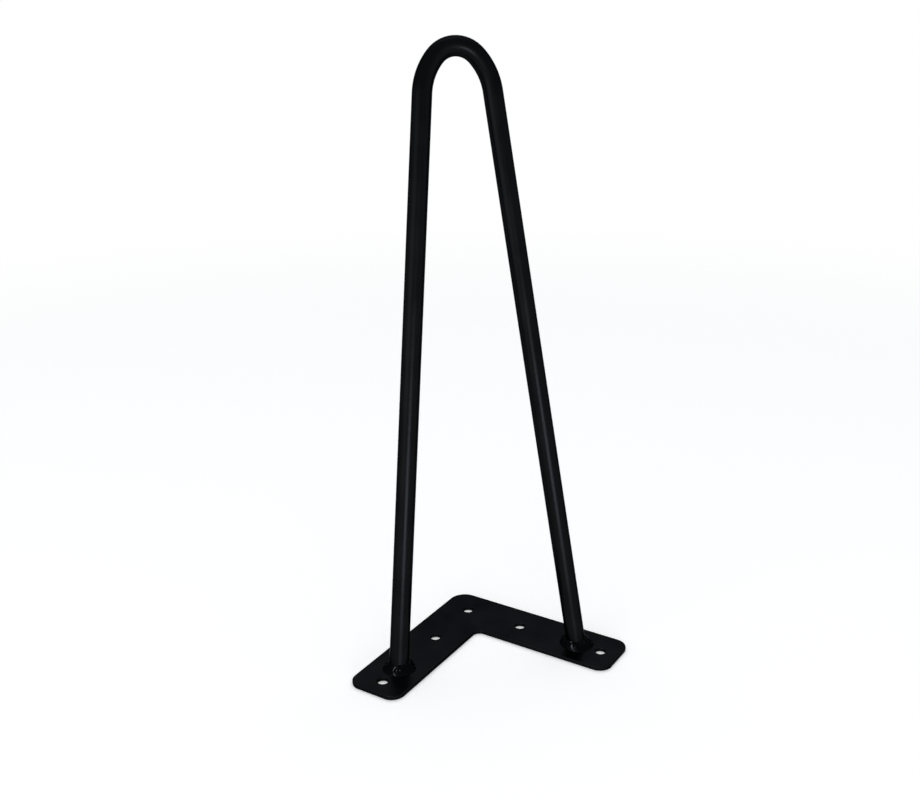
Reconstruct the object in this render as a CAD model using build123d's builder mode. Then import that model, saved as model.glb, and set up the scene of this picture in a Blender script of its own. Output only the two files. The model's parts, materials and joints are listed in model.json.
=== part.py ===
from build123d import *
from math import asin, atan2, cos, hypot, pi, radians, sin, sqrt
import os

# Hairpin furniture leg: one round steel rod bent into a narrow U, its feet welded to an L-shaped screw plate.
# Millimetres. The origin is the corner screw hole's centre on the mounting face. +Z runs from the plate to the
# bend, the plate's corner points to +Y, its arms run to -Y on either side, and X = 0 is the plane of symmetry.

# Whole leg
leg_height = 306.0  # mounting face to the crest of the bend
lean = 12.4  # degrees that the hairpin's plane leans back over the plate's corner

# Rod
rod_diameter = 10.0
crest_radius = 13.5  # of the bend's crest, to the rod's centreline
crest_turn = 49.0  # degrees that the bend turns on each side of its crest before it eases
shoulder_radius = 31.0  # of the easier bend from there down to the straights, to the rod's centreline
foot_from_arm_end = 24.0  # foot's centre to the end of its arm

# Mounting plate
arm_length = 106.0  # along the outer edge, from the sharp corner to the arm's end
arm_width = 30.0
plate_thickness = 2.0
corner_radius = 9.0  # outside of the L
inner_radius = 4.0  # inside of the L
end_radius = 7.0  # both corners of each arm's end
edge_radius = 0.4  # upper edges, rolled over where the outline was punched out

# Screw holes
hole_diameter = 5.5
end_hole_from_arm_end = 10.0
middle_hole_from_corner_hole = 33.0

# Weld beads
weld_size = 3.5  # how far a bead reaches out from the rod, and up it
weld_crown = 0.6  # bulge of a bead over the flat face from its toe to its top
weld_pitch = 3.2  # from one ripple of a bead to the next, along the rod's skin

# The plate's own plane: its x runs along the right arm and its -y along the left arm.
plate_plane = Plane(origin=(0, 0, 0), x_dir=(1, -1, 0), z_dir=(0, 0, 1))
plate_top = Plane.XY.offset(plate_thickness)
arm_reach = arm_length - arm_width / 2  # from the corner hole to an arm's end
end_hole_reach = arm_reach - end_hole_from_arm_end
right_foot = plate_plane.from_local_coords(Vector(arm_reach - foot_from_arm_end, 0, plate_thickness))

with BuildPart(plate_plane) as mounting_plate:
    with BuildSketch(plate_plane) as outline:
        with Locations((-arm_width / 2, arm_width / 2)):
            Rectangle(arm_length, arm_width, align=(Align.MIN, Align.MAX))
            Rectangle(arm_width, arm_length, align=(Align.MIN, Align.MAX))
        fillet(outline.vertices().group_by(Axis.X)[-1], end_radius)
        fillet(outline.vertices().group_by(Axis.Y)[0], end_radius)
        fillet(outline.vertices().sort_by_distance((-arm_width / 2, arm_width / 2))[0], corner_radius)
        fillet(outline.vertices().sort_by_distance((arm_width / 2, -arm_width / 2))[0], inner_radius)
    extrude(amount=plate_thickness)
    fillet(mounting_plate.faces().sort_by(Axis.Z)[-1].edges(), edge_radius)
    with Locations(
        (0, 0),
        (middle_hole_from_corner_hole, 0),
        (end_hole_reach, 0),
        (0, -middle_hole_from_corner_hole),
        (0, -end_hole_reach),
    ):
        Hole(hole_diameter / 2)

# The hairpin's plane holds both feet and leans back. Its x is the leg's X, and its y climbs along the rod.
# The bend is tight round its crest and eases through a shoulder on each side into the straights.
hairpin_plane = Plane(
    origin=(0, right_foot.Y, plate_thickness),
    x_dir=(1, 0, 0),
    z_dir=(0, -cos(radians(lean)), sin(radians(lean))),
)
crest = (leg_height - plate_thickness - rod_diameter / 2) / cos(radians(lean))  # of the centreline, up the slope
join_turn = radians(crest_turn)
join_x = crest_radius * sin(join_turn)  # where the crest passes into the right shoulder
join_y = crest - crest_radius + crest_radius * cos(join_turn)
shoulder_x = join_x - shoulder_radius * sin(join_turn)  # the right shoulder's centre, left of the middle
shoulder_y = join_y - shoulder_radius * cos(join_turn)
foot_across = right_foot.X - shoulder_x
foot_to_centre = hypot(foot_across, shoulder_y)
rod_angle = atan2(foot_across, shoulder_y) - asin(shoulder_radius / foot_to_centre)  # of a straight, inwards
tangent_x = shoulder_x + shoulder_radius * cos(rod_angle)
tangent_y = shoulder_y + shoulder_radius * sin(rod_angle)
shoulder_turn = (join_turn + pi / 2 - rod_angle) / 2  # of the middle of the shoulder, from the crest
middle_x = shoulder_x + shoulder_radius * sin(shoulder_turn)
middle_y = shoulder_y + shoulder_radius * cos(shoulder_turn)
spare = rod_diameter  # straight stock below each foot, cut off on the plate's face
stock_x = right_foot.X + spare * sin(rod_angle)
stock_y = -spare * cos(rod_angle)

with BuildPart() as hairpin_rod:
    with BuildLine(hairpin_plane) as centreline:
        Line((stock_x, stock_y), (tangent_x, tangent_y))
        ThreePointArc((tangent_x, tangent_y), (middle_x, middle_y), (join_x, join_y))
        ThreePointArc((join_x, join_y), (0, crest), (-join_x, join_y))
        ThreePointArc((-join_x, join_y), (-middle_x, middle_y), (-tangent_x, tangent_y))
        Line((-tangent_x, tangent_y), (-stock_x, stock_y))
    with BuildSketch(Plane(origin=centreline.line @ 0, z_dir=centreline.line % 0)):
        Circle(rod_diameter / 2)
    sweep()
    split(bisect_by=plate_top, keep=Keep.TOP)

# Each bead is a ring of overlapping round ripples on the plate, laid round a foot and kept outside the rod.
# A ripple is the cap of a ball that is sunk into the corner between rod and plate.
ripple_radius = (weld_size**2 / 2 + weld_crown**2) / (2 * weld_crown)
ripple_sink = (ripple_radius - weld_crown) / sqrt(2) - weld_size / 2
ripples = round(pi * rod_diameter / weld_pitch)
weld_beads = {}
for side, foot_x in (("left", -right_foot.X), ("right", right_foot.X)):
    with BuildPart() as bead:
        with Locations((foot_x, right_foot.Y, plate_thickness - ripple_sink)):
            with PolarLocations(rod_diameter / 2 - ripple_sink, ripples):
                Sphere(ripple_radius)
        split(bisect_by=plate_top, keep=Keep.TOP)
        add(hairpin_rod.part, mode=Mode.SUBTRACT)
    weld_beads[f"weld_bead_{side}"] = bead.part

os.makedirs("parts", exist_ok=True)
mounting_plate.part.label = "mounting_plate"
export_step(mounting_plate.part, "parts/mounting_plate.step")
hairpin_rod.part.label = "hairpin_rod"
export_step(hairpin_rod.part, "parts/hairpin_rod.step")
for name, weld in weld_beads.items():
    weld.label = name
    export_step(weld, f"parts/{name}.step")
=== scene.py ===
import json
from math import asin, atan2, cos, hypot, pi, radians, sin, sqrt, tan
import bmesh
import bpy
from mathutils import Matrix, Vector


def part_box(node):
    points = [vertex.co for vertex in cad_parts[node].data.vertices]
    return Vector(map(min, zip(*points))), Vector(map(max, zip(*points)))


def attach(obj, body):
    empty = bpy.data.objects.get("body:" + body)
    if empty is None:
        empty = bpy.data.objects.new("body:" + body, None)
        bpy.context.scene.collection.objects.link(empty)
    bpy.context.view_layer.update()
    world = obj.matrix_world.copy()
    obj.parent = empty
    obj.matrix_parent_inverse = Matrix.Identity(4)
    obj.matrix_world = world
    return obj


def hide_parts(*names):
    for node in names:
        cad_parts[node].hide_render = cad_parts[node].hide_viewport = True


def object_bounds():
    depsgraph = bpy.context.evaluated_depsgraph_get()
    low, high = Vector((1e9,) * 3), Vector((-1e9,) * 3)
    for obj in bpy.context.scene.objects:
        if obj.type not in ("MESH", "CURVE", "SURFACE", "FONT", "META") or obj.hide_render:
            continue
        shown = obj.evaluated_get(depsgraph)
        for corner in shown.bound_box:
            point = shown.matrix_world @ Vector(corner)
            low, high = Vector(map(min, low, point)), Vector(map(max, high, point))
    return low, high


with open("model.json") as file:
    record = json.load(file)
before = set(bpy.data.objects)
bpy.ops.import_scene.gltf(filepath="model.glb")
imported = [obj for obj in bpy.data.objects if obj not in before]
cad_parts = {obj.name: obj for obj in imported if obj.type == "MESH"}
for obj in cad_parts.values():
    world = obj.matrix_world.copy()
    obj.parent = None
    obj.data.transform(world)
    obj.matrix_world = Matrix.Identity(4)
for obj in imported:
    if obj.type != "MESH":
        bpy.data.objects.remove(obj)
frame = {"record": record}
cad_low, cad_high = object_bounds()

# Mounting plate
# An L of 2 mm sheet steel, punched to its outline with five plain screw holes. The punch rolls its upper
# rims over. It is powder coated satin black with the rest of the leg, and screws flat to the furniture.
arm_length = 0.106  # along the outer edge, from the sharp corner to the arm's end
arm_width = 0.030
outer_corner_radius = 0.009
inner_corner_radius = 0.004
arm_end_radius = 0.007
upper_rim_radius = 0.0004
lower_rim_radius = 0.00015
rim_band = 0.0006  # flat strip beside a rim that keeps the faces' shading level
corner_facets = 24
hole_facets = 64
rim_facets = 6
wall_corners = 4  # of the wall's section: its end on each face, and the two rims between them
seam_width = 1e-6  # points nearer than this become one
millimetre = 0.001
plate_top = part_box("mounting_plate")[1].z
coat_peel = 0.000010  # height of the orange peel on sheet and bar
coat_roughness = 0.305


def add_node(tree, kind, inputs, **settings):
    """A new node. Each named input takes a value, a node's output, or a node for its first output."""
    node = tree.nodes.new(kind)
    for name, setting in settings.items():
        setattr(node, name, setting)
    for name, value in inputs.items():
        if isinstance(value, bpy.types.Node):
            value = value.outputs[0]
        if isinstance(value, bpy.types.NodeSocket):
            tree.links.new(value, node.inputs[name])
        else:
            node.inputs[name].default_value = value
    return node


def calc(tree, operation, first, second=0.0):
    """What a Math node makes of one or two numbers."""
    return add_node(tree, "ShaderNodeMath", {0: first, 1: second}, operation=operation).outputs[0]


def scaled(tree, vector, factor):
    """A vector made longer or shorter."""
    return add_node(tree, "ShaderNodeVectorMath", {0: vector, "Scale": factor}, operation="SCALE")


def circle(tree, facets, radius):
    """A flat ring of short straight lines."""
    return add_node(tree, "GeometryNodeCurvePrimitiveCircle", {"Resolution": facets, "Radius": radius})


def joined(tree, shapes):
    """Several shapes as one."""
    union = add_node(tree, "GeometryNodeJoinGeometry", {})
    for shape in shapes:
        tree.links.new(shape.outputs[0], union.inputs[0])
    return union


def rounded_lines(tree, drawing, facets):
    """A drawing's lines as a curve, each corner rounded by the radius that was drawn with it."""
    lines = add_node(tree, "GeometryNodeMeshToCurve", {"Mesh": drawing})
    radius = add_node(tree, "GeometryNodeInputNamedAttribute", {"Name": "corner_radius"}, data_type="FLOAT")
    return add_node(
        tree,
        "GeometryNodeFilletCurve",
        {"Curve": lines, "Count": facets, "Radius": radius.outputs["Attribute"]},
        mode="POLY",
    )


def shape_tree(name, sizes):
    """A Geometry Nodes tree that turns a drawing into a piece, with one named input for each size."""
    tree = bpy.data.node_groups.new(name, "GeometryNodeTree")
    tree.interface.new_socket("Drawing", in_out="INPUT", socket_type="NodeSocketGeometry")
    for size, kind in sizes.items():
        tree.interface.new_socket(size, in_out="INPUT", socket_type="NodeSocket" + kind)
    tree.interface.new_socket("Piece", in_out="OUTPUT", socket_type="NodeSocketGeometry")
    return tree, tree.nodes.new("NodeGroupInput").outputs


def hand_over(tree, shape, coat):
    """Ends a tree: what it made becomes one real, coated mesh."""
    real = add_node(tree, "GeometryNodeRealizeInstances", {"Geometry": shape})
    coated = add_node(tree, "GeometryNodeSetMaterial", {"Geometry": real, "Material": coat})
    add_node(tree, "NodeGroupOutput", {"Piece": coated})


def draw_lines(name, points, lines, radii):
    """A drawing of straight lines, with a radius for each corner."""
    drawing = bpy.data.meshes.new(name)
    drawing.from_pydata(points, lines, [])
    corners = drawing.attributes.new("corner_radius", "FLOAT", "POINT")
    for corner, radius in zip(corners.data, radii):
        corner.value = radius
    return drawing


def make_piece(name, drawing, tree, sizes):
    """Runs a tree on a drawing and keeps what comes out as the piece's plain mesh."""
    piece = bpy.data.objects.new(name, drawing)
    bpy.context.scene.collection.objects.link(piece)
    modifier = piece.modifiers.new(tree.name, "NODES")
    modifier.node_group = tree
    for socket in tree.interface.items_tree:
        if socket.name in sizes:
            modifier[socket.identifier] = sizes[socket.name]
    depsgraph = bpy.context.evaluated_depsgraph_get()
    mesh = bpy.data.meshes.new_from_object(piece.evaluated_get(depsgraph), depsgraph=depsgraph)
    piece.modifiers.remove(modifier)
    mesh.materials.clear()
    mesh.materials.append(sizes["Coat"])
    piece.data = mesh
    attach(piece, "root")
    return piece


def clouds(tree, place, width, detail):
    """Noise with lumps of about the width given."""
    noise = add_node(tree, "ShaderNodeTexNoise", {"Vector": place, "Scale": 1 / width, "Detail": detail})
    return noise.outputs["Fac"]


def black_coat(name, peel_height, roughness, painted_shade_scale=1.0):
    """Satin black powder coat: a cold near-black with fine orange peel, glossier in some patches."""
    dull_tone = (0.0052, 0.0055, 0.0062)
    bright_tone = (0.0067, 0.0071, 0.0079)
    metal_share = 0.985  # nearly metal, so that the sheen is as dark as the tones above
    edge_tint = (0.445, 0.445, 0.45, 1)  # keeps a side that turns away dark beside the white floor
    patch_width = 0.018
    patch_detail = 3.0
    tone_span = (0.35, 0.65)  # of the patches' noise, from the dull tone to the bright one
    gloss_span = (0.3, 0.7)  # of the same noise, from the glossiest to the roughest
    gloss_change = 0.045  # of the roughness, either way
    peel_width = 0.0016
    peel_detail = 1.0
    grain_width = 0.0003
    grain_detail = 2.0
    grain_share = 0.1  # of the peel's height
    coat = bpy.data.materials.new(name)
    coat.use_nodes = True
    tree = coat.node_tree
    shader = tree.nodes["Principled BSDF"]
    shader.inputs["Metallic"].default_value = metal_share
    shader.inputs["Specular Tint"].default_value = edge_tint
    place = add_node(tree, "ShaderNodeTexCoord", {}).outputs["Object"]
    patches = clouds(tree, place, patch_width, patch_detail)
    tone = add_node(tree, "ShaderNodeValToRGB", {"Fac": patches})
    # A scale below 1 darkens both tones as painted shade on a coat that is the same as elsewhere.
    for stop, position, colour in zip(tone.color_ramp.elements, tone_span, (dull_tone, bright_tone)):
        stop.position = position
        stop.color = [part * painted_shade_scale for part in colour] + [1]
    tree.links.new(tone.outputs["Color"], shader.inputs["Base Color"])
    gloss = add_node(
        tree,
        "ShaderNodeMapRange",
        {
            "Value": patches,
            "From Min": gloss_span[0],
            "From Max": gloss_span[1],
            "To Min": roughness - gloss_change,
            "To Max": roughness + gloss_change,
        },
    )
    tree.links.new(gloss.outputs["Result"], shader.inputs["Roughness"])
    peel = clouds(tree, place, peel_width, peel_detail)
    grain = clouds(tree, place, grain_width, grain_detail)
    waves = add_node(tree, "ShaderNodeBump", {"Distance": peel_height, "Height": peel})
    grains = add_node(
        tree,
        "ShaderNodeBump",
        {"Distance": peel_height * grain_share, "Height": grain, "Normal": waves.outputs["Normal"]},
    )
    tree.links.new(grains.outputs["Normal"], shader.inputs["Normal"])
    return coat


plate_tree, size = shape_tree(
    "punched_plate",
    {
        "Thickness": "Float",
        "Upper Rim": "Float",
        "Lower Rim": "Float",
        "Band": "Float",
        "Hole Radius": "Float",
        "Coat": "Material",
    },
)
outline = rounded_lines(plate_tree, size["Drawing"], corner_facets)
neighbours = add_node(plate_tree, "GeometryNodeInputMeshVertexNeighbors", {}).outputs["Vertex Count"]
is_mark = calc(plate_tree, "LESS_THAN", neighbours, 1.0)  # a screw hole's mark stands alone
marks = add_node(plate_tree, "GeometryNodeMeshToPoints", {"Mesh": size["Drawing"], "Selection": is_mark})
punch = circle(plate_tree, hole_facets, size["Hole Radius"])
punches = add_node(plate_tree, "GeometryNodeInstanceOnPoints", {"Points": marks, "Instance": punch})
holes = add_node(plate_tree, "GeometryNodeRealizeInstances", {"Geometry": punches})
cuts = joined(plate_tree, (outline, holes))
level = add_node(plate_tree, "GeometryNodeSetCurveNormal", {"Curve": cuts}, mode="Z_UP")

# The wall's section runs from the lower face over both rims to the upper face. The outline goes round
# clockwise and the holes the other way, so the section's X always points into the metal, and its Y down.
inset = calc(plate_tree, "ADD", size["Upper Rim"], size["Band"])
stroke = add_node(plate_tree, "GeometryNodeCurvePrimitiveLine", {})
strokes = add_node(plate_tree, "GeometryNodeResampleCurve", {"Curve": stroke, "Count": wall_corners})
corner_number = add_node(plate_tree, "GeometryNodeInputIndex", {}).outputs[0]
middle_number = (wall_corners - 1) / 2
is_upper = calc(plate_tree, "GREATER_THAN", corner_number, middle_number)
from_middle = calc(plate_tree, "ABSOLUTE", calc(plate_tree, "SUBTRACT", corner_number, middle_number))
is_end = calc(plate_tree, "GREATER_THAN", from_middle, 1.0)  # a rim is half a number from the middle
rise = calc(plate_tree, "MULTIPLY", is_upper, size["Thickness"])
corner = add_node(
    plate_tree,
    "ShaderNodeCombineXYZ",
    {"X": calc(plate_tree, "MULTIPLY", is_end, inset), "Y": calc(plate_tree, "MULTIPLY", rise, -1.0)},
)
bent = add_node(plate_tree, "GeometryNodeSetPosition", {"Geometry": strokes, "Position": corner})
rim = add_node(
    plate_tree,
    "ShaderNodeMix",
    {"Factor": is_upper, "A": size["Lower Rim"], "B": size["Upper Rim"]},
)
section = add_node(
    plate_tree,
    "GeometryNodeFilletCurve",
    {"Curve": bent, "Count": rim_facets, "Radius": rim, "Limit Radius": True},
    mode="POLY",
)
wall = add_node(plate_tree, "GeometryNodeCurveToMesh", {"Curve": level, "Profile Curve": section})

# The lower face fills the same cuts, set in by the rim and its band. The upper face is the same, raised.
sideways = add_node(plate_tree, "GeometryNodeInputNormal", {})
step_in = scaled(plate_tree, sideways, inset)
edge = add_node(plate_tree, "GeometryNodeSetPosition", {"Geometry": level, "Offset": step_in})
face = add_node(plate_tree, "GeometryNodeFillCurve", {"Curve": edge}, mode="TRIANGLES")
lower_face = add_node(plate_tree, "GeometryNodeFlipFaces", {"Mesh": face})
raised = add_node(plate_tree, "ShaderNodeCombineXYZ", {"Z": size["Thickness"]})
upper_face = add_node(plate_tree, "GeometryNodeSetPosition", {"Geometry": face, "Offset": raised})
shell = joined(plate_tree, (wall, upper_face, lower_face))
closed = add_node(plate_tree, "GeometryNodeMergeByDistance", {"Geometry": shell, "Distance": seam_width})
hand_over(plate_tree, closed, size["Coat"])

half = arm_width / 2
reach = arm_length - half  # from the corner hole to an arm's end
plate_corners = [
    (-half, half, outer_corner_radius),
    (reach, half, arm_end_radius),
    (reach, -half, arm_end_radius),
    (half, -half, inner_corner_radius),
    (half, -reach, arm_end_radius),
    (-half, -reach, arm_end_radius),
]
turn = Matrix.Rotation(radians(-45), 3, "Z")  # the list's axes run along the two arms
corner_places = [turn @ Vector((x, y, 0)) for x, y, radius in plate_corners]
hole_places = []
for mount in frame["record"]["mounts"]:
    centre = Vector(mount["pos_m"])
    if mount["kind"] == "bore":
        hole_radius = mount["dims"]["r_mm"] * millimetre
        hole_places.append(centre)
    if mount["kind"] == "bolt_pattern":
        aside = Vector((mount["dims"]["spacing_x_mm"] * millimetre / 2, 0, 0))
        hole_places += [centre - aside, centre + aside]
count = len(plate_corners)
plate_drawing = draw_lines(
    "plate_drawing",
    corner_places + hole_places,
    [(i, (i + 1) % count) for i in range(count)],
    [radius for x, y, radius in plate_corners],
)
sheet_coat = black_coat("black_coat_on_sheet", coat_peel, coat_roughness)
plate = make_piece(
    "mounting_plate_coated",
    plate_drawing,
    plate_tree,
    {
        "Thickness": plate_top,
        "Upper Rim": upper_rim_radius,
        "Lower Rim": lower_rim_radius,
        "Band": rim_band,
        "Hole Radius": hole_radius,
        "Coat": sheet_coat,
    },
)
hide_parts("mounting_plate")

# Hairpin rod
# One round steel bar, bent cold round a former into a narrow U. Its two ends are cut at a slant, so that
# they stand flat on the plate while the U leans back over the plate's corner.
rod_radius = 0.005
crest_radius = 0.0135  # of the bend's crest, to the bar's centreline
crest_turn = radians(49)  # on each side of the crest, before the bend eases
shoulder_radius = 0.031
foot_from_arm_end = 0.024
lean = radians(12.4)  # of the hairpin's plane
bend_facets = 64
bar_facets = 64
ring_spacing = 0.0016
foot_facing = -0.99  # the Z of a face's direction, below which it is the flat end of a foot


def height_of(tree, vector):
    """The Z of a place or a direction."""
    return add_node(tree, "ShaderNodeSeparateXYZ", {0: vector}).outputs["Z"]


rod_tree, size = shape_tree(
    "bent_rod",
    {"Rod Radius": "Float", "Spacing": "Float", "Seat Height": "Float", "Coat": "Material"},
)
bend = rounded_lines(rod_tree, size["Drawing"], bend_facets)
centreline = add_node(
    rod_tree,
    "GeometryNodeResampleCurve",
    {"Curve": bend, "Length": size["Spacing"]},
    mode="LENGTH",
)
ends = add_node(rod_tree, "GeometryNodeCurveEndpointSelection", {"Start Size": 1, "End Size": 1})
tangent = add_node(rod_tree, "GeometryNodeInputTangent", {})
noted = add_node(rod_tree, "GeometryNodeCaptureAttribute", {"Geometry": centreline}, domain="POINT")
noted.capture_items.new("BOOLEAN", "Is Foot")
noted.capture_items.new("VECTOR", "Run")
rod_tree.links.new(ends.outputs[0], noted.inputs["Is Foot"])
rod_tree.links.new(tangent.outputs[0], noted.inputs["Run"])
run = noted.outputs["Run"]
tube = add_node(
    rod_tree,
    "GeometryNodeCurveToMesh",
    {
        "Curve": noted.outputs["Geometry"],
        "Profile Curve": circle(rod_tree, bar_facets, size["Rod Radius"]),
        "Fill Caps": True,
    },
)

# The points of each end slide along the bar until they lie on the plate, which cuts the end at its slant.
place = add_node(rod_tree, "GeometryNodeInputPosition", {})
drop = calc(rod_tree, "SUBTRACT", size["Seat Height"], height_of(rod_tree, place))
slide = scaled(rod_tree, run, calc(rod_tree, "DIVIDE", drop, height_of(rod_tree, run)))
cut = add_node(
    rod_tree,
    "GeometryNodeSetPosition",
    {"Geometry": tube, "Selection": noted.outputs["Is Foot"], "Offset": slide},
)
facing = add_node(rod_tree, "GeometryNodeInputNormal", {})
is_round = calc(rod_tree, "GREATER_THAN", height_of(rod_tree, facing), foot_facing)
shaded = add_node(rod_tree, "GeometryNodeSetShadeSmooth", {"Geometry": cut, "Shade Smooth": is_round})
hand_over(rod_tree, shaded, size["Coat"])

right_foot = turn @ Vector((reach - foot_from_arm_end, 0, 0)) + Vector((0, 0, plate_top))
left_foot = Vector((-right_foot.x, right_foot.y, right_foot.z))
crest = (cad_high.z - plate_top - rod_radius) / cos(lean)  # of the centreline, up the hairpin's slope
crest_centre = crest - crest_radius
shoulder_x = (crest_radius - shoulder_radius) * sin(crest_turn)  # the right shoulder's centre
shoulder_up = crest_centre + (crest_radius - shoulder_radius) * cos(crest_turn)
foot_across = right_foot.x - shoulder_x
rod_angle = atan2(foot_across, shoulder_up) - asin(shoulder_radius / hypot(foot_across, shoulder_up))

# The drawing is the polygon of the bend's tangents: a corner over the crest and one outside each shoulder.
half_turn = (pi / 2 - rod_angle - crest_turn) / 2
corner_out = shoulder_radius / cos(half_turn)
corner_x = shoulder_x + corner_out * sin(crest_turn + half_turn)
corner_up = shoulder_up + corner_out * cos(crest_turn + half_turn)
up_slope = Vector((0, sin(lean), cos(lean)))
plate_middle = (left_foot + right_foot) / 2
left_shoulder = plate_middle + Vector((-corner_x, 0, 0)) + up_slope * corner_up
right_shoulder = plate_middle + Vector((corner_x, 0, 0)) + up_slope * corner_up
crest_corner = plate_middle + up_slope * (crest_centre + crest_radius / cos(crest_turn))
rod_corners = [left_foot, left_shoulder, crest_corner, right_shoulder, right_foot]
rod_drawing = draw_lines(
    "rod_drawing",
    rod_corners,
    [(i, i + 1) for i in range(len(rod_corners) - 1)],
    (0, shoulder_radius, crest_radius, shoulder_radius, 0),
)
bar_coat = black_coat("black_coat_on_bar", coat_peel, coat_roughness)
rod = make_piece(
    "hairpin_rod_coated",
    rod_drawing,
    rod_tree,
    {
        "Rod Radius": rod_radius,
        "Spacing": ring_spacing,
        "Seat Height": plate_top,
        "Coat": bar_coat,
    },
)
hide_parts("hairpin_rod")

# Weld beads
# A fillet of weld metal runs round each foot and joins the bar to the plate. It was laid by hand in short
# overlapping puddles, so it is lumpy, and the coat has flowed over it.
bead_reach = 0.0035  # out from the bar, and up it
bead_crown = 0.0003
bead_sink = 0.00012  # into the bar and the plate that it is fused with
bead_steps = 300  # round the foot
belly_facets = 24
ripples = 15
ripple_share = 0.11  # of the bead's size, for a ripple of height 1
ripple_level = 0.65  # the height on a ripple at which the bead has its mean size
ripple_lag = 0.9  # of a ripple, by which its toe and its top trail its belly
seam_softness = 0.35  # the height that a ripple keeps at its seams, which rounds them
lump_share = 0.55
lump_width = 0.005
swell_share = 0.9
swell_width = 0.014
unevenness_detail = 1.0
mean_noise = 0.5
thinnest = 0.65  # of the bead's mean size
fullest = 1.3
left_seed = 46
right_seed = 10
weld_peel = 0.000012
weld_roughness = 0.2
weld_painted_shade_scale = 0.5  # painted shade: the weld's coat at half the tone of sheet and bar, so the bead round each foot looks darker

bead_tree, size = shape_tree(
    "weld_bead",
    {
        "Foot": "Vector",
        "Rod Run": "Vector",
        "Rod Radius": "Float",
        "Reach": "Float",
        "Crown": "Float",
        "Sink": "Float",
        "Ripples": "Int",
        "Ripple Share": "Float",
        "Seam Softness": "Float",
        "Lump Share": "Float",
        "Lump Width": "Float",
        "Swell Share": "Float",
        "Swell Width": "Float",
        "Thinnest": "Float",
        "Fullest": "Float",
        "Seed": "Int",
        "Coat": "Material",
    },
)
path = circle(bead_tree, bead_steps, size["Rod Radius"])
level_path = add_node(bead_tree, "GeometryNodeSetCurveNormal", {"Curve": path}, mode="Z_UP")
under = calc(bead_tree, "MULTIPLY", size["Sink"], -1.0)
belly = calc(
    bead_tree,
    "ADD",
    calc(bead_tree, "MULTIPLY", size["Reach"], 0.5),
    calc(bead_tree, "MULTIPLY", size["Crown"], sqrt(2)),
)
wedge_corners = ((under, under), (under, size["Reach"]), (belly, belly), (size["Reach"], under))
belly_number = 2  # the belly's place in that list, counted from 0
number_margin = 0.1
wedge_points = {}
for number, (across, up) in enumerate(wedge_corners, start=1):
    down = calc(bead_tree, "MULTIPLY", up, -1.0)
    wedge_points[f"Point {number}"] = add_node(bead_tree, "ShaderNodeCombineXYZ", {"X": across, "Y": down})
wedge = add_node(bead_tree, "GeometryNodeCurvePrimitiveQuadrilateral", wedge_points, mode="POINTS")
corner_number = add_node(bead_tree, "GeometryNodeInputIndex", {})
is_belly = add_node(
    bead_tree,
    "ShaderNodeMath",
    {0: corner_number, 1: belly_number, 2: number_margin},
    operation="COMPARE",
)
round_belly = add_node(
    bead_tree,
    "GeometryNodeFilletCurve",
    {"Curve": wedge, "Count": belly_facets, "Radius": is_belly, "Limit Radius": True},
    mode="POLY",
)
ring = add_node(bead_tree, "GeometryNodeCurveToMesh", {"Curve": level_path, "Profile Curve": round_belly})

# Each point keeps its direction from the foot of the bar's skin, and goes further out or nearer by
# ripples, lumps and swells.
place = add_node(bead_tree, "GeometryNodeInputPosition", {}).outputs[0]
along = add_node(bead_tree, "ShaderNodeSeparateXYZ", {0: place})
angle = calc(bead_tree, "ARCTAN2", along.outputs["Y"], along.outputs["X"])
flat_place = add_node(bead_tree, "ShaderNodeVectorMath", {0: place, 1: (1, 1, 0)}, operation="MULTIPLY")
outward = add_node(bead_tree, "ShaderNodeVectorMath", {0: flat_place}, operation="NORMALIZE")
distance = add_node(bead_tree, "ShaderNodeVectorMath", {0: flat_place}, operation="LENGTH").outputs["Value"]
out = calc(bead_tree, "SUBTRACT", distance, size["Rod Radius"])
tilt = calc(bead_tree, "DIVIDE", calc(bead_tree, "SUBTRACT", out, along.outputs["Z"]), size["Reach"])
lag = calc(bead_tree, "MULTIPLY", calc(bead_tree, "MULTIPLY", tilt, tilt), ripple_lag)
unevenness = []
for width in (size["Lump Width"], size["Swell Width"]):
    cells = add_node(
        bead_tree,
        "ShaderNodeTexNoise",
        {
            "Vector": place,
            "W": size["Seed"],
            "Scale": calc(bead_tree, "DIVIDE", 1.0, width),
            "Detail": unevenness_detail,
        },
        noise_dimensions="4D",
    )
    unevenness.append(calc(bead_tree, "SUBTRACT", cells.outputs[0], mean_noise))
lump, swell = unevenness
phase = calc(bead_tree, "MULTIPLY", angle, calc(bead_tree, "DIVIDE", size["Ripples"], 2 * pi))
phase = calc(bead_tree, "ADD", calc(bead_tree, "SUBTRACT", phase, lag), lump)
wave = calc(bead_tree, "SINE", calc(bead_tree, "MULTIPLY", phase, pi))
soft = calc(bead_tree, "MULTIPLY", size["Seam Softness"], size["Seam Softness"])
ripple = calc(bead_tree, "SQRT", calc(bead_tree, "ADD", calc(bead_tree, "MULTIPLY", wave, wave), soft))
ripple = calc(bead_tree, "SUBTRACT", ripple, ripple_level)
grown = calc(bead_tree, "ADD", calc(bead_tree, "MULTIPLY", ripple, size["Ripple Share"]), 1.0)
grown = calc(bead_tree, "ADD", grown, calc(bead_tree, "MULTIPLY", lump, size["Lump Share"]))
grown = calc(bead_tree, "ADD", grown, calc(bead_tree, "MULTIPLY", swell, size["Swell Share"]))
grown = calc(bead_tree, "MAXIMUM", calc(bead_tree, "MINIMUM", grown, size["Fullest"]), size["Thinnest"])
new_out = calc(bead_tree, "ADD", calc(bead_tree, "MULTIPLY", out, grown), size["Rod Radius"])
new_up = calc(bead_tree, "MULTIPLY", along.outputs["Z"], grown)
sideways = scaled(bead_tree, outward, new_out)
steepness = height_of(bead_tree, size["Rod Run"])
climb = scaled(bead_tree, size["Rod Run"], calc(bead_tree, "DIVIDE", new_up, steepness))
leaning = add_node(bead_tree, "ShaderNodeVectorMath", {0: sideways, 1: climb}, operation="ADD")
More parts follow.
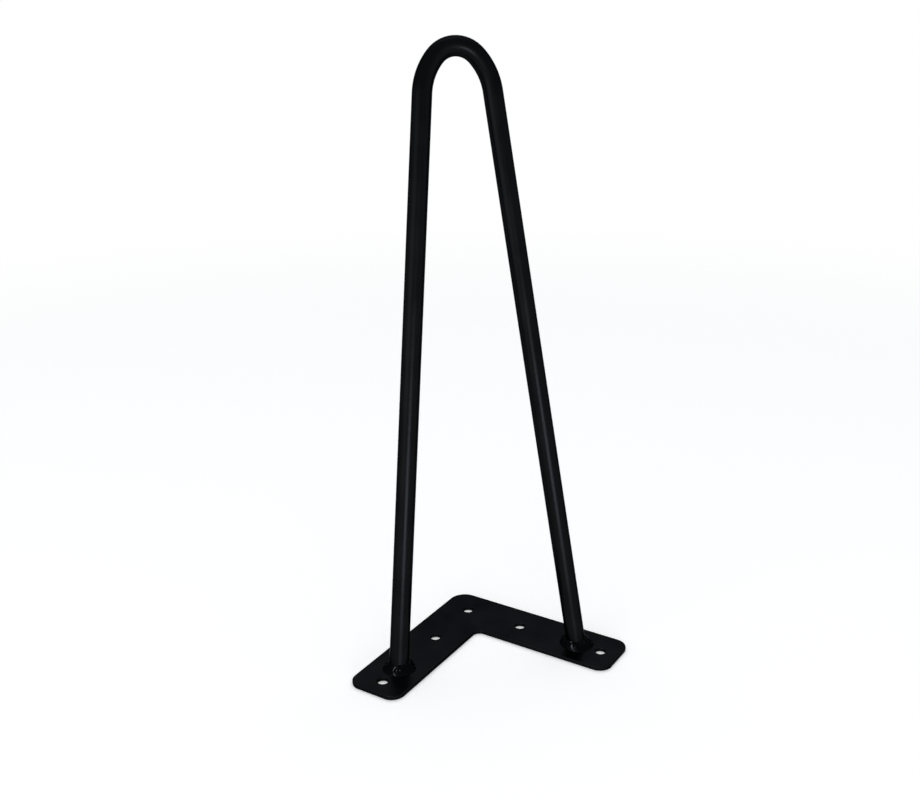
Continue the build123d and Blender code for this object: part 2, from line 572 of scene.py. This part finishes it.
seated = add_node(bead_tree, "ShaderNodeVectorMath", {0: leaning, 1: size["Foot"]}, operation="ADD")
bead = add_node(bead_tree, "GeometryNodeSetPosition", {"Geometry": ring, "Position": seated})
sealed = add_node(bead_tree, "GeometryNodeMergeByDistance", {"Geometry": bead, "Distance": seam_width})
smooth = add_node(bead_tree, "GeometryNodeSetShadeSmooth", {"Geometry": sealed, "Shade Smooth": True})
hand_over(bead_tree, smooth, size["Coat"])

# The welds wear the same coat as sheet and bar, darkened as painted shade.
weld_coat = black_coat("black_coat_on_weld", weld_peel, weld_roughness, weld_painted_shade_scale)
for side, foot, shoulder, seed in (
    ("left", left_foot, left_shoulder, left_seed),
    ("right", right_foot, right_shoulder, right_seed),
):
    bead_piece = make_piece(
        f"weld_bead_{side}_coated",
        bpy.data.meshes.new(f"weld_drawing_{side}"),  # left empty, as the tree lays its own ring
        bead_tree,
        {
            "Foot": foot,
            "Rod Run": (shoulder - foot).normalized(),
            "Rod Radius": rod_radius,
            "Reach": bead_reach,
            "Crown": bead_crown,
            "Sink": bead_sink,
            "Ripples": ripples,
            "Ripple Share": ripple_share,
            "Seam Softness": seam_softness,
            "Lump Share": lump_share,
            "Lump Width": lump_width,
            "Swell Share": swell_share,
            "Swell Width": swell_width,
            "Thinnest": thinnest,
            "Fullest": fullest,
            "Seed": seed,
            "Coat": weld_coat,
        },
    )
    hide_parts(f"weld_bead_{side}")

# Studio
# The leg stands on its plate on a white floor that curves up all round, under soft light, seen from the
# photograph's place. The floor's white is lifted for the eye and for reflections, and takes a soft shadow.
floor_drop = 0.0001  # keeps the floor clear of the plate's lower face
flat_radius = 2.0
cove_radius = 1.6
cove_turn = radians(90)
cove_steps = 24
floor_facets = 96
floor_seam = 1e-5  # points nearer than this become one
floor_white = (0.93, 0.93, 0.93, 1)
floor_roughness = 0.9
floor_lift = 0.24
near_floor = 0.5  # out to here the floor is lit, and beyond far_floor it is plain white
far_floor = 1.2
white_height = 0.8  # up to here the cove is white, and from there it fades into the air's grey
air_light = 0.6
air_tint = (0.96, 0.98, 1.0, 1)

profile = [(0.0, 0.0), (flat_radius, 0.0)]
for step in range(1, cove_steps + 1):
    turn_so_far = cove_turn * step / cove_steps
    profile.append((flat_radius + cove_radius * sin(turn_so_far), cove_radius * (1 - cos(turn_so_far))))
floor_shape = bmesh.new()
floor_points = [floor_shape.verts.new((across, 0, height - floor_drop)) for across, height in profile]
floor_edges = [floor_shape.edges.new(pair) for pair in zip(floor_points, floor_points[1:])]
bmesh.ops.spin(
    floor_shape,
    geom=floor_points + floor_edges,
    cent=(0, 0, 0),
    axis=(0, 0, 1),
    angle=2 * pi,
    steps=floor_facets,
    use_merge=True,
)
bmesh.ops.remove_doubles(floor_shape, verts=floor_shape.verts, dist=floor_seam)
bmesh.ops.recalc_face_normals(floor_shape, faces=floor_shape.faces)
floor_mesh = bpy.data.meshes.new("studio_floor")
floor_shape.to_mesh(floor_mesh)
floor_shape.free()
floor_mesh.polygons.foreach_set("use_smooth", [True] * len(floor_mesh.polygons))
floor = bpy.data.objects.new("studio_floor", floor_mesh)
bpy.context.scene.collection.objects.link(floor)
white = bpy.data.materials.new("white_floor")
white.use_nodes = True
white_tree = white.node_tree
white_shader = white_tree.nodes["Principled BSDF"]
white_shader.inputs["Base Color"].default_value = floor_white
white_shader.inputs["Roughness"].default_value = floor_roughness
white_shader.inputs["Specular IOR Level"].default_value = 0.0
white_shader.inputs["Emission Color"].default_value = (1, 1, 1, 1)
rays = add_node(white_tree, "ShaderNodeLightPath", {})
seen = calc(white_tree, "ADD", rays.outputs["Is Camera Ray"], rays.outputs["Is Glossy Ray"])
seen = calc(white_tree, "ADD", seen, rays.outputs["Is Transmission Ray"])
lift = calc(white_tree, "MULTIPLY", seen, floor_lift)
white_tree.links.new(lift, white_shader.inputs["Emission Strength"])
floor_place = add_node(white_tree, "ShaderNodeTexCoord", {}).outputs["Object"]
dusk = add_node(
    white_tree,
    "ShaderNodeMapRange",
    {
        "Value": height_of(white_tree, floor_place),
        "From Min": white_height,
        "From Max": cove_radius,
        "To Min": 1.0,
        "To Max": air_light,
    },
    interpolation_type="SMOOTHSTEP",
)
backdrop_light = calc(white_tree, "MULTIPLY", seen, dusk.outputs["Result"])
backdrop = add_node(white_tree, "ShaderNodeEmission", {"Strength": backdrop_light})
from_leg = add_node(white_tree, "ShaderNodeVectorMath", {0: floor_place}, operation="LENGTH")
fade = add_node(
    white_tree,
    "ShaderNodeMapRange",
    {"Value": from_leg.outputs["Value"], "From Min": near_floor, "From Max": far_floor},
    interpolation_type="SMOOTHSTEP",
)
blend = add_node(white_tree, "ShaderNodeMixShader", {"Fac": fade.outputs["Result"]})
white_tree.links.new(white_shader.outputs[0], blend.inputs[1])
white_tree.links.new(backdrop.outputs[0], blend.inputs[2])
white_tree.links.new(blend.outputs[0], white_tree.nodes["Material Output"].inputs["Surface"])
floor_mesh.materials.append(white)

world = bpy.data.worlds.new("studio_air")
world.use_nodes = True
world.node_tree.nodes["Background"].inputs["Color"].default_value = air_tint
world.node_tree.nodes["Background"].inputs["Strength"].default_value = air_light
bpy.context.scene.world = world

# A broad soft light comes from behind, and flat lamps on the left and in front draw the sheen on the bar.
back_light_energy = 1.2
back_light_angle = radians(70)
back_light_shines = Vector((-0.15, -0.62, -0.77))
back_light = bpy.data.lights.new("back_light", "SUN")
back_light.energy = back_light_energy
back_light.angle = back_light_angle
hung_back_light = bpy.data.objects.new("back_light", back_light)
hung_back_light.rotation_euler = back_light_shines.to_track_quat("-Z", "Y").to_euler()
bpy.context.scene.collection.objects.link(hung_back_light)
leg_middle = (cad_low + cad_high) / 2


def hang(lamp, target, bearing, rise, distance):
    """Hangs a lamp to face a target: bearing in degrees from -Y towards -X, rise above the horizon."""
    hung = bpy.data.objects.new(lamp.name, lamp)
    towards = Vector((-sin(radians(bearing)), -cos(radians(bearing)), tan(radians(rise)))).normalized()
    hung.location = target + towards * distance
    hung.rotation_euler = (-towards).to_track_quat("-Z", "Y").to_euler()
    hung.visible_camera = False
    bpy.context.scene.collection.objects.link(hung)
    return hung


def flat_lamp(name, wide, tall, radiance, tint):
    """A rectangular lamp of the radiance given, whatever its size."""
    lamp = bpy.data.lights.new(name, "AREA")
    lamp.shape = "RECTANGLE"
    lamp.size = wide
    lamp.size_y = tall
    lamp.energy = radiance * pi * wide * tall
    lamp.color = tint
    return lamp


window = flat_lamp("window_left", wide=1.2, tall=0.7, radiance=1.35, tint=(1, 1, 1))
hang(window, leg_middle, bearing=56, rise=12, distance=1.6)
strip = flat_lamp("strip_front", wide=0.42, tall=0.19, radiance=13, tint=(0.88, 0.94, 1))
hang(strip, leg_middle, bearing=4, rise=-3, distance=1.0)

# A small lamp in a snoot, high on the left, reaches the feet alone, where the lumps of the welds glint in
# it. Matt surfaces take nothing from it, so the floor stays even.
spot_radius = 0.05
spot_radiance = 280
spot_cone = radians(12)
spot_blend = 0.15
foot_spot = bpy.data.lights.new("foot_spot", "SPOT")
foot_spot.spot_size = spot_cone
foot_spot.spot_blend = spot_blend
foot_spot.shadow_soft_size = spot_radius
foot_spot.energy = spot_radiance * (2 * pi * spot_radius) ** 2
hung_spot = hang(foot_spot, plate_middle, bearing=51.4, rise=57.5, distance=1.315)
hung_spot.visible_diffuse = False

camera_place = Vector((-0.12232, -0.52952, 0.31987))
camera_azimuth = radians(-12.652)
camera_fall = radians(19.635)  # below the horizon
camera_roll = radians(-0.571)
camera_lens = 43.433  # millimetres, as the sensor is
camera_sensor = 36.0
camera_near = 0.01
camera_data = bpy.data.cameras.new("photo_camera")
camera_data.sensor_width = camera_sensor
camera_data.lens = camera_lens
camera_data.clip_start = camera_near
camera = bpy.data.objects.new("photo_camera", camera_data)
aim = Matrix.Rotation(camera_azimuth, 3, "Z") @ Matrix.Rotation(pi / 2 - camera_fall, 3, "X")
aim = aim @ Matrix.Rotation(camera_roll, 3, "Z")
camera.matrix_world = Matrix.Translation(camera_place) @ aim.to_4x4()
bpy.context.scene.collection.objects.link(camera)
bpy.context.scene.camera = camera
bpy.context.scene.view_settings.view_transform = "Standard"
